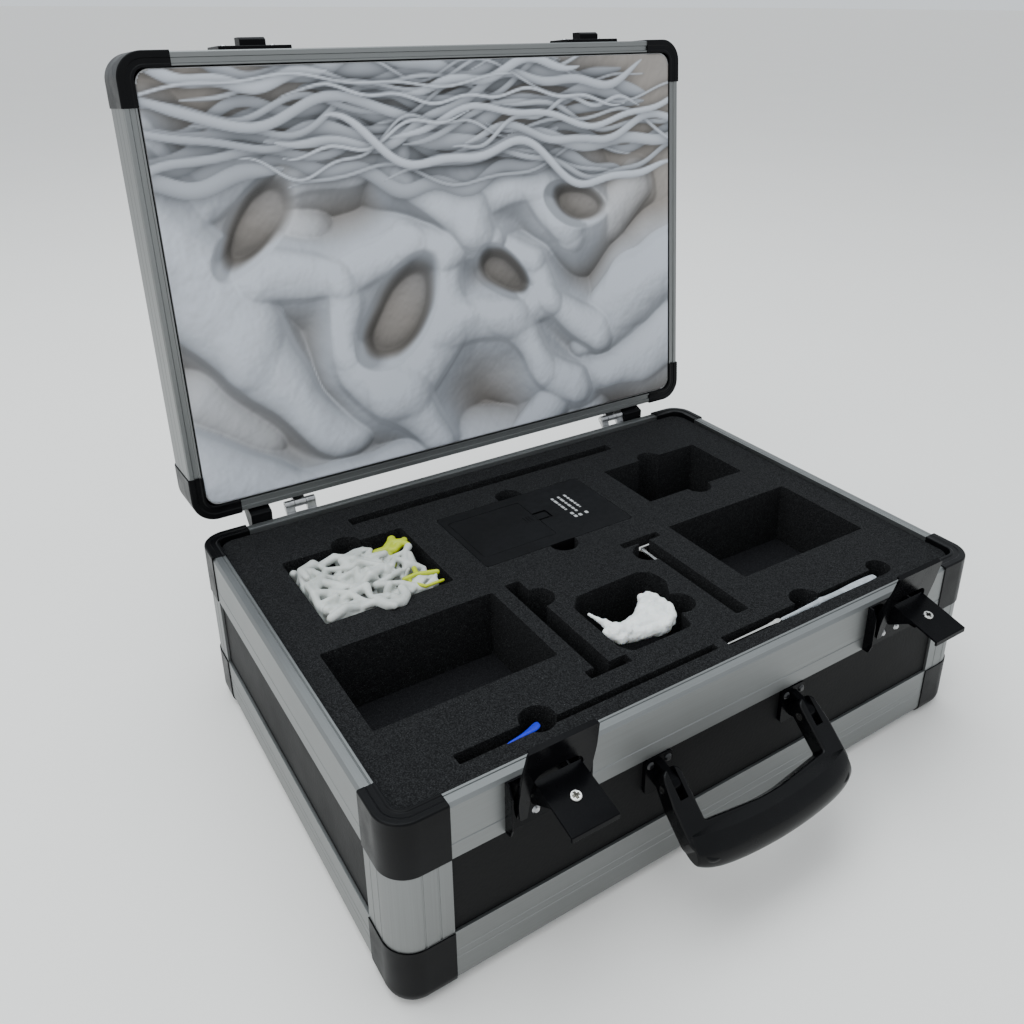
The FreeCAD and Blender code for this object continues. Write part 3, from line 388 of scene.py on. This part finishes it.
BOARD = plastic("board_back", (0.30, 0.30, 0.30), (0.36, 0.36, 0.36), 0.5, 700.0, 0.00005)
PICTURE = printed_sheet("board_print", "ink")
MARKS = plastic("mark_ink", (0.36, 0.36, 0.36), (0.46, 0.46, 0.46), 0.6, 2200.0, 0.00002)
WINDOW = plastic("window_dark", (0.01, 0.012, 0.016), (0.02, 0.024, 0.03), 0.12, 300.0, 0.00001)
RUBBER = plastic("button_rubber", (0.05, 0.05, 0.052), (0.08, 0.08, 0.082), 0.6, 900.0, 0.0001)
CIRCUIT = plastic("board_mask", (0.006, 0.06, 0.02), (0.012, 0.10, 0.04), 0.35, 500.0, 0.0001)
JACKET = plastic("cell_jacket", (0.03, 0.03, 0.035), (0.12, 0.12, 0.13), 0.3, 200.0, 0.00005)

# By the start of the node's name: the finish, and how far its hard edges are rounded in millimetres.
FINISHES = (
    ("base_rim_sides", RAIL_Y, 0.25), ("base_rim", RAIL_X, 0.25), ("base_edge_sides", RAIL_Y, 0.25),
    ("base_edge", RAIL_X, 0.25), ("base_posts", RAIL_Z, 0.3), ("base_panel", PANEL, 0.3),
    ("base_top_corner", CORNER, 0.35), ("base_bottom_corners", CORNER, 0.5), ("base_rivets", RIVETS, 0),
    ("lid_rail_sides", RAIL_Z, 0.25), ("lid_rail", RAIL_X, 0.25), ("lid_top_panel", PANEL, 0.3),
    ("lid_corner", CORNER, 0.35), ("lid_print_board", BOARD, 0.2), ("lid_stops", CORNER, 0.6),
    ("lid_catches", LATCH, 0.35), ("lid_rivets", STEEL, 0), ("latch_lock", CHROME, 0.15),
    ("latch_", LATCH, 0.2), ("handle_grip", HANDLE, 0), ("handle_brackets", LATCH, 0.4),
    ("pivot_pins", CHROME, 0), ("hinge_pins", CHROME, 0), ("hinge_", STEEL, 0.2), ("tee_probe", CHROME, 0),
    ("scanner_window", WINDOW, 0), ("scanner_button", RUBBER, 0.3), ("scanner_board", CIRCUIT, 0),
    ("scanner_batteries", JACKET, 0.4), ("scanner_", UNIT, 0.3), ("", WHITE, 0),
)


def paint(piece, material):
    piece.data.materials.clear()
    piece.data.materials.append(material)


def soften(piece, width):
    """Rounds the hard edges of a piece a little, so that they catch the light, and keeps its flats flat."""
    piece.modifiers.new("weld", "WELD").merge_threshold = 1e-6
    flats = piece.modifiers.new("flats", "DECIMATE")
    flats.decimate_type = "DISSOLVE"
    flats.angle_limit = math.radians(0.7)
    bevel = piece.modifiers.new("edges", "BEVEL")
    bevel.width = width * MM
    bevel.segments = 2
    bevel.limit_method = "ANGLE"
    bevel.angle_limit = math.radians(38)
    piece.modifiers.new("flat_normals", "WEIGHTED_NORMAL").keep_sharp = False


for name, node in nodes.items():
    finish, rounding = next((m, r) for start, m, r in FINISHES if name.startswith(start))
    if node.material_slots:
        for used in node.material_slots:
            used.material = finish
    else:
        node.data.materials.append(finish)
    if rounding:
        soften(node, rounding)


# ---------------------------------------------------------------- new pieces
def piece_from(mesh, name, material, body, smooth=True):
    piece = bpy.data.objects.new(name, mesh)
    bpy.context.scene.collection.objects.link(piece)
    paint(piece, material)
    if smooth:
        mesh.shade_smooth()
    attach(piece, body)
    return piece


def foam_block(node, name, material, body, cut_round):
    """A foam piece from its CAD block, with the cut edges worn round."""
    mesh = nodes[node].data.copy()
    shape = bmesh.new()
    shape.from_mesh(mesh)
    bmesh.ops.remove_doubles(shape, verts=shape.verts, dist=1e-6)
    bmesh.ops.dissolve_limit(shape, angle_limit=math.radians(0.5), verts=shape.verts, edges=shape.edges)
    sharp = [e for e in shape.edges if len(e.link_faces) == 2 and e.calc_face_angle() > math.radians(40)]
    bmesh.ops.bevel(shape, geom=sharp, offset=cut_round * MM, segments=3, profile=0.5, affect="EDGES",
                    clamp_overlap=True)
    bmesh.ops.triangulate(shape, faces=[f for f in shape.faces if len(f.verts) > 4])
    shape.to_mesh(mesh)
    shape.free()
    piece = piece_from(mesh, name, material, body, smooth=False)
    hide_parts(node)
    return piece


foam_block("foam_top_layer", "foam_insert", FOAM, "base", 0.8)
# The lower layer gets the darker foam copy: painted shade on the pockets' floors.
foam_block("foam_lower_layer", "foam_floor_layer", FOAM_PAINTED_SHADE, "base", 0.8)
foam_block("lid_foam_pad", "lid_foam", FOAM, "lid", 0.8)


def lid_picture():
    """A printed film with rounded corners just in front of the lid's board, coloured point by point."""
    board = nodes["lid_print_board"]
    spots = np.empty(len(board.data.vertices) * 3)
    board.data.vertices.foreach_get("co", spots)
    spots = spots.reshape(-1, 3)
    middle = (spots.max(0) + spots.min(0)) / 2
    spread = spots[:, 1:] - spots[:, 1:].mean(0)
    up = np.linalg.svd(spread, full_matrices=False)[2][0]
    up = up * np.sign(up[1])
    out = np.array([-up[1], up[0]])
    depth = (spread @ out).max() + PICTURE_PROUD * MM
    along = spread @ up
    centre = spots[:, 1:].mean(0) + up * (along.max() + along.min()) / 2 + out * depth
    u, v, colours = picture_colours()
    rows, cols = u.shape
    x = middle[0] + u * MM
    y, z = (centre[i] + up[i] * v * MM for i in (0, 1))
    points = np.stack([x, y, z], -1).reshape(-1, 3)
    over_u, over_v = (np.clip(np.abs(place) - (half - PICTURE_CORNER), 0, None)
                      for place, half in zip((u, v), PICTURE_HALF))
    kept = (np.hypot(over_u, over_v) <= PICTURE_CORNER + 0.01).reshape(-1)
    number = np.cumsum(kept) - 1
    index = np.arange(rows * cols).reshape(rows, cols)
    quads = np.stack([index[:-1, :-1], index[:-1, 1:], index[1:, 1:], index[1:, :-1]], -1).reshape(-1, 4)
    quads = number[quads[kept[quads].all(1)]]
    mesh = bpy.data.meshes.new("lid_picture")
    mesh.from_pydata(points[kept].tolist(), [], quads.tolist())
    ink = mesh.attributes.new("ink", "FLOAT_COLOR", "POINT")
    shades = np.concatenate([colours.reshape(-1, 3)[kept], np.ones((kept.sum(), 1))], 1)
    ink.data.foreach_set("color", shades.reshape(-1).astype(np.float32))
    film = piece_from(mesh, "lid_picture", PICTURE, "lid")
    film.modifiers.new("film", "SOLIDIFY").thickness = 0.1 * MM


lid_picture()


def strut_mesh(name, struts):
    """Tapered struts with round ends, for a remesh to merge. Each is (start, end, radius, radius)."""
    shape = bmesh.new()
    for start, end, start_r, end_r in struts:
        start, end = Vector(start) * MM, Vector(end) * MM
        run = end - start
        if run.length > 1e-6:
            turn = run.to_track_quat("Z", "Y").to_matrix().to_4x4()
            bmesh.ops.create_cone(shape, cap_ends=True, segments=12, radius1=start_r * MM, radius2=end_r * MM,
                                  depth=run.length, matrix=Matrix.Translation((start + end) / 2) @ turn)
        for spot, radius in ((start, start_r), (end, end_r)):
            bmesh.ops.create_icosphere(shape, subdivisions=2, radius=radius * MM,
                                       matrix=Matrix.Translation(spot))
    mesh = bpy.data.meshes.new(name)
    shape.to_mesh(mesh)
    shape.free()
    return mesh


def merged(piece, voxel, smoothing, lumps=0.0, lump_size=5.0):
    """Merges overlapping forms into one skin, smooths it and gives it lumps that size, all in millimetres."""
    skin = piece.modifiers.new("skin", "REMESH")
    skin.mode = "VOXEL"
    skin.voxel_size = voxel * MM
    skin.use_smooth_shade = True
    smooth = piece.modifiers.new("smooth", "SMOOTH")
    smooth.factor, smooth.iterations = 0.5, smoothing
    if lumps:
        cloud = bpy.data.textures.new(piece.name + "_lumps", "CLOUDS")
        cloud.noise_scale = lump_size * MM
        push = piece.modifiers.new("lumps", "DISPLACE")
        push.texture, push.strength, push.mid_level = cloud, lumps * MM, 0.5


# ---------------------------------------------------------------- lattice specimen
LATTICE_X, LATTICE_Y, LATTICE_Z = (-185.5, -109.0), (20.5, 90.0), (105.0, 113.0, 121.0, 127.0)
LATTICE_PITCH = (10.9, 9.9)
LID_ROOM = 131.2                        # the closed lid's picture comes down to a height of 131.65


def under_lid(struts):
    """The struts, with both ends of each low enough to clear the closed lid."""
    return [((ax, ay, min(az, LID_ROOM - start_r)), (bx, by, min(bz, LID_ROOM - end_r)), start_r, end_r)
            for (ax, ay, az), (bx, by, bz), start_r, end_r in struts]


def lattice_struts(rng):
    """Struts between the knots of a jittered grid, thick at the left and slimmer to the right."""
    counts = [round((high - low) / pitch) + 1
              for (low, high), pitch in zip((LATTICE_X, LATTICE_Y), LATTICE_PITCH)]
    knots = {}
    for i in range(counts[0]):
        for j in range(counts[1]):
            for k, z in enumerate(LATTICE_Z):
                x = LATTICE_X[0] + i * LATTICE_PITCH[0] + rng.uniform(-3.6, 3.6)
                y = LATTICE_Y[0] + j * LATTICE_PITCH[1] + rng.uniform(-3.2, 3.2)
                x = min(max(x, LATTICE_X[0]), LATTICE_X[1])
                y = min(max(y, LATTICE_Y[0]), LATTICE_Y[1])
                open_corner = x > -128 and y > 62
                if not open_corner or k < 2:
                    lift = 0.0 if open_corner else rng.uniform(-3.5, 2.4) * (k == len(LATTICE_Z) - 1)
                    size = 3.9 - 1.1 * i / counts[0] + rng.uniform(-0.9, 0.9)
                    knots[i, j, k] = (x, y, z + rng.uniform(-1.2, 1.2) + lift), size
    struts = []
    for (i, j, k), (spot, size) in knots.items():
        for step, chance in (((1, 0, 0), 0.46), ((0, 1, 0), 0.46), ((0, 0, 1), 0.6), ((1, 1, 0), 0.24),
                             ((1, -1, 0), 0.24), ((1, 0, 1), 0.28), ((0, 1, 1), 0.28)):
            other = knots.get((i + step[0], j + step[1], k + step[2]))
            if other and rng.random() < chance:
                start_r, end_r = size * rng.uniform(0.62, 0.9), other[1] * rng.uniform(0.62, 0.9)
                struts.append((spot, other[0], start_r, end_r))
    return struts


OVERHANG = [((-152, 20, 129), (-149, 12, 130.5), 4, 3.6), ((-149, 12, 130.5), (-139, 10.5, 131), 3.6, 3.8),
            ((-139, 10.5, 131), (-134, 15, 131), 3.8, 3.4), ((-134, 15, 131), (-133, 24, 129), 3.4, 3.2),
            ((-149, 12, 130.5), (-146, 7.5, 130), 3.2, 2.6), ((-142, 18, 128), (-141, 10, 131), 3, 3)]
SLIM = [((-122, 28, 126), (-111, 33, 131), 2.4, 1.6), ((-116, 20, 125), (-107, 24.5, 129), 2.4, 1.5),
        ((-124, 24, 124), (-114, 19, 125), 3, 2.4), ((-124, 70, 122), (-112, 63, 129), 2.6, 2.2),
        ((-112, 63, 129), (-106, 70, 132), 2.2, 3.0), ((-118, 50, 124), (-112, 63, 129), 2.6, 2.4),
        ((-136, 78, 124), (-124, 71, 128), 3, 2.4)]
YELLOW_BACK = [((-128, 79, 125), (-121, 77, 126), 3.2, 3.6), ((-121, 77, 126), (-114, 82, 127.5), 3.6, 4.0),
               ((-114, 82, 127.5), (-112, 86, 128), 3.8, 3.4), ((-114, 82, 127.5), (-108, 78, 128), 3.4, 3.2),
               ((-108, 78, 128), (-104.5, 80, 128), 3.0, 2.6), ((-108, 78, 128), (-104.5, 74, 127), 2.8, 2.4),
               ((-121, 77, 126), (-115, 74, 126), 3.0, 2.8), ((-115, 74, 126), (-108, 78, 128), 2.8, 2.8),
               ((-120, 62, 120), (-121, 77, 125), 3.0, 3.0), ((-132, 55, 124), (-122, 60, 124), 2.2, 2.2)]
YELLOW_FRONT = [((-127, 33, 128), (-118, 32, 130), 1.8, 1.7),
                ((-118, 32, 130), (-104.5, 27.5, 130), 1.6, 2.0),
                ((-118, 32, 130), (-116, 40, 130), 1.6, 2.0),
                ((-118, 17.8, 127.6), (-105, 17.6, 128.2), 1.3, 1.2),
                ((-124, 30, 126), (-118, 17.8, 127.6), 1.6, 1.3)]

network = under_lid(lattice_struts(random.Random(5)) + OVERHANG + SLIM)
lattice = piece_from(strut_mesh("lattice_network", network), "lattice_network", WHITE, "lattice")
merged(lattice, 0.85, 5)
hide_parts("specimen_lattice")
painted = strut_mesh("lattice_painted", under_lid(YELLOW_BACK + YELLOW_FRONT))
merged(piece_from(painted, "lattice_painted", YELLOW, "lattice"), 0.7, 4)


# ---------------------------------------------------------------- bone fragment
def fragment_struts(rng):
    """A facetted ball with a spike, a waist and a fan with a ragged edge."""
    forms = [((-45.5, -71, 129.3), (-40.5, -81, 127), 0.9, 2.2), ((-40.5, -81, 127), (-39, -87, 125), 2.6, 4),
             ((-39, -90, 124.5), (-33, -93, 124), 6.6, 5.4), ((-43, -88, 124), (-38, -96, 123.5), 3.8, 4.2),
             ((-38, -90, 122), (-16, -88, 123), 5.6, 6.2), ((-16, -88, 123), (-4, -84, 124), 6.4, 6.4),
             ((-16, -86, 123), (-2, -75, 125), 5.2, 4.4), ((-10, -91, 123), (-5, -97, 123), 6.0, 5.6),
             ((-8, -88, 124), (2, -88, 124), 6.2, 5.6), ((-10, -82, 124.5), (0, -79, 125), 5.6, 5.2),
             ((-33, -95, 121.5), (-6, -100, 122), 4.2, 4.6), ((-22, -91, 122.5), (-2, -95, 123), 6.0, 5.4)]
    edge = [(-2, -70.5), (3, -71.5), (6, -75), (6.5, -82), (6.5, -89), (4, -95.5), (-1, -100), (-6, -102)]
    for (ax, ay), (bx, by) in zip(edge, edge[1:]):
        height, size = rng.uniform(125.5, 127.5), rng.uniform(2.2, 3.2)
        forms.append(((ax, ay, height), (bx, by, height - 1.5), size, rng.uniform(2.0, 3.0)))
        forms.append(((-6, -86, 124), (ax, ay, height - 1.5), 5.0, 2.8))
    return forms


fragment = piece_from(strut_mesh("bone_fragment", fragment_struts(random.Random(3))), "bone_fragment", BONE,
                      "fragment")
merged(fragment, 0.6, 2, 1.7, 4.0)
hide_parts("specimen_fragment")


# ---------------------------------------------------------------- spatula and clear tool
def lofted(name, stations, sides=16):
    """Oval rings across X, each (x, y, z, half width, half height), joined and closed at both ends."""
    shape = bmesh.new()
    rings = []
    for x, y, z, half_w, half_h in stations:
        angles = [2 * math.pi * i / sides for i in range(sides)]
        spots = [(x, y + half_w * math.cos(a), z + half_h * math.sin(a)) for a in angles]
        rings.append([shape.verts.new(Vector(spot) * MM) for spot in spots])
    for near, far in zip(rings, rings[1:]):
        for i in range(sides):
            shape.faces.new((near[i], near[i - 1], far[i - 1], far[i]))
    shape.faces.new(rings[0])
    shape.faces.new(rings[-1][::-1])
    bmesh.ops.recalc_face_normals(shape, faces=shape.faces)
    mesh = bpy.data.meshes.new(name)
    shape.to_mesh(mesh)
    shape.free()
    return mesh


def rounded(piece, levels=2):
    piece.modifiers.new("round", "SUBSURF").levels = levels
    piece.modifiers["round"].render_levels = levels


spatula = piece_from(lofted("spatula_blade", [
    (-154.5, -139.2, 125.0, 0.6, 0.5), (-151, -138.9, 125.2, 0.8, 0.7), (-145, -138.2, 125.4, 1.0, 0.8),
    (-139.5, -137.7, 125.5, 1.2, 0.8), (-134.5, -137.1, 125.7, 1.8, 0.8), (-130, -136.1, 125.8, 2.7, 0.7),
    (-127, -135.2, 125.9, 2.7, 0.7), (-125.4, -134.8, 126.0, 1.8, 0.6)]), "spatula_blade", BLUE, "spatula")
rounded(spatula)
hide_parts("blue_spatula")
rounded(piece_from(lofted("spatula_tip", [
    (-165.0, -139.9, 124.4, 0.5, 0.4), (-161, -139.8, 124.6, 0.8, 0.6), (-155.2, -139.3, 124.9, 1.0, 0.8),
    (-152.6, -139.0, 125.1, 1.1, 0.9)]), "spatula_tip", PALE, "spatula"))

TOOL_Y = -138.6
tool = piece_from(lofted("tool_tube", [
    (59.0, TOOL_Y, 125, 0.9, 0.9), (61.0, TOOL_Y, 125, 1.1, 1.1), (76.0, TOOL_Y, 125, 1.3, 1.3),
    (84.0, TOOL_Y, 125, 1.9, 1.9), (95.5, TOOL_Y, 125, 2.0, 2.0), (96.0, TOOL_Y, 125, 2.8, 2.8),
    (98.5, TOOL_Y, 125, 2.8, 2.8), (99.0, TOOL_Y, 125, 2.1, 2.1), (120.0, TOOL_Y, 125, 2.3, 2.0),
    (121.0, TOOL_Y, 125, 3.2, 1.5), (133.0, TOOL_Y, 125.3, 3.4, 1.2), (148.0, TOOL_Y, 125.6, 3.0, 1.0),
    (152.0, TOOL_Y, 125.6, 2.2, 0.8)]), "tool_tube", CLEAR, "tool")
rounded(tool, 1)
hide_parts("clear_tool")
rounded(piece_from(lofted("tool_needle", [
    (12.0, TOOL_Y, 125, 0.5, 0.5), (14.0, TOOL_Y, 125, 0.7, 0.7), (53.0, TOOL_Y, 125, 0.8, 0.8),
    (53.6, TOOL_Y, 125, 2.3, 1.8), (57.6, TOOL_Y, 125, 2.3, 1.8), (58.2, TOOL_Y, 125, 0.9, 0.9),
    (60.0, TOOL_Y, 125, 0.8, 0.8)]), "tool_needle", CHROME, "tool"), 1)


# ---------------------------------------------------------------- generic marks printed on the scanner unit
MARK_HEIGHT, MARK_SUNK, MARK_CUT = 0.12, 0.05, 0.35


def unit_marks():
    """Short raised bars in rows, in place of the printed text and signs."""
    rng = random.Random(8)
    top = max(v.co.z for v in nodes["scanner_back_shell"].data.vertices) / MM
    bars = []
    for x, start, end in ((22.6, 77.0, 55.5), (28.6, 77.0, 49.5), (34.6, 77.0, 53.5)):
        y = start
        while y > end:
            length = rng.uniform(2.2, 5.4)
            bars.append(((x, x + 2.1), (max(y - length, end), y)))
            y -= length + 1.1
    dots = ((23.0, 42.0), (27.4, 42.0), (23.0, 47.0), (33.6, 42.6))
    bars += [((x, x + 2.6), (y, y + 3.4)) for x, y in dots]
    shape = bmesh.new()
    for (x0, x1), (y0, y1) in bars:
        cut = MARK_CUT
        outline = [(x0 + cut, y0), (x1 - cut, y0), (x1, y0 + cut), (x1, y1 - cut),
                   (x1 - cut, y1), (x0 + cut, y1), (x0, y1 - cut), (x0, y0 + cut)]
        low = (top - MARK_SUNK) * MM
        flat = shape.faces.new([shape.verts.new((x * MM, y * MM, low)) for x, y in outline])
        raised = bmesh.ops.extrude_face_region(shape, geom=[flat])["geom"]
        top_verts = [v for v in raised if isinstance(v, bmesh.types.BMVert)]
        bmesh.ops.translate(shape, vec=(0, 0, MARK_HEIGHT * MM), verts=top_verts)
    bmesh.ops.recalc_face_normals(shape, faces=shape.faces)
    mesh = bpy.data.meshes.new("unit_marks")
    shape.to_mesh(mesh)
    shape.free()
    piece_from(mesh, "unit_marks", MARKS, "scanner", smooth=False)


unit_marks()


# ---------------------------------------------------------------- camera, light and floor
CAMERA_AT = (-0.3526, -0.4837, 0.4935)
CAMERA_TURN = (1.1685644, -0.0051950, -0.5842924)
camera = bpy.data.objects.new("camera", bpy.data.cameras.new("camera"))
camera.location = CAMERA_AT
camera.rotation_euler = CAMERA_TURN
camera.data.sensor_width = 36.0
camera.data.lens = 33.49
camera.data.shift_x = -0.03518
camera.data.shift_y = -0.10272
bpy.context.scene.collection.objects.link(camera)
bpy.context.scene.camera = camera


def lamp(name, at, aim, size, power, tint):
    data = bpy.data.lights.new(name, "AREA")
    data.shape = "RECTANGLE"
    data.size, data.size_y = size
    data.energy = power
    data.color = tint
    light = bpy.data.objects.new(name, data)
    light.location = at
    light.rotation_euler = (Vector(aim) - Vector(at)).to_track_quat("-Z", "Y").to_euler()
    bpy.context.scene.collection.objects.link(light)


lamp("overhead", (-0.3, 0.3, 2.2), (0, 0, 0.2), (2.4, 1.6), 42.0, (0.90, 0.97, 1.0))
lamp("window", (-2.2, -0.6, 1.5), (0, 0, 0.2), (1.6, 1.6), 12.0, (1.0, 0.99, 0.97))

world = bpy.data.worlds.new("studio")
world.use_nodes = True
world.node_tree.nodes["Background"].inputs["Color"].default_value = (0.90, 0.955, 1.0, 1.0)
world.node_tree.nodes["Background"].inputs["Strength"].default_value = 1.0
bpy.context.scene.world = world

floor_mesh = bpy.data.meshes.new("floor")
FLOOR_HALF, FLOOR_Z = 80.0, -0.0002
floor_signs = ((-1, -1), (1, -1), (1, 1), (-1, 1))
floor_corners = [(x * FLOOR_HALF, y * FLOOR_HALF, FLOOR_Z) for x, y in floor_signs]
floor_mesh.from_pydata(floor_corners, [], [(0, 1, 2, 3)])
floor = bpy.data.objects.new("floor", floor_mesh)
bpy.context.scene.collection.objects.link(floor)
g = Graph("floor_paper")
paper = g.mix(g.noise(3.0, 2.0), (0.93, 0.905, 0.87), (0.96, 0.935, 0.90))
paint(floor, g.finish(Base_Color=paper, Roughness=0.9))
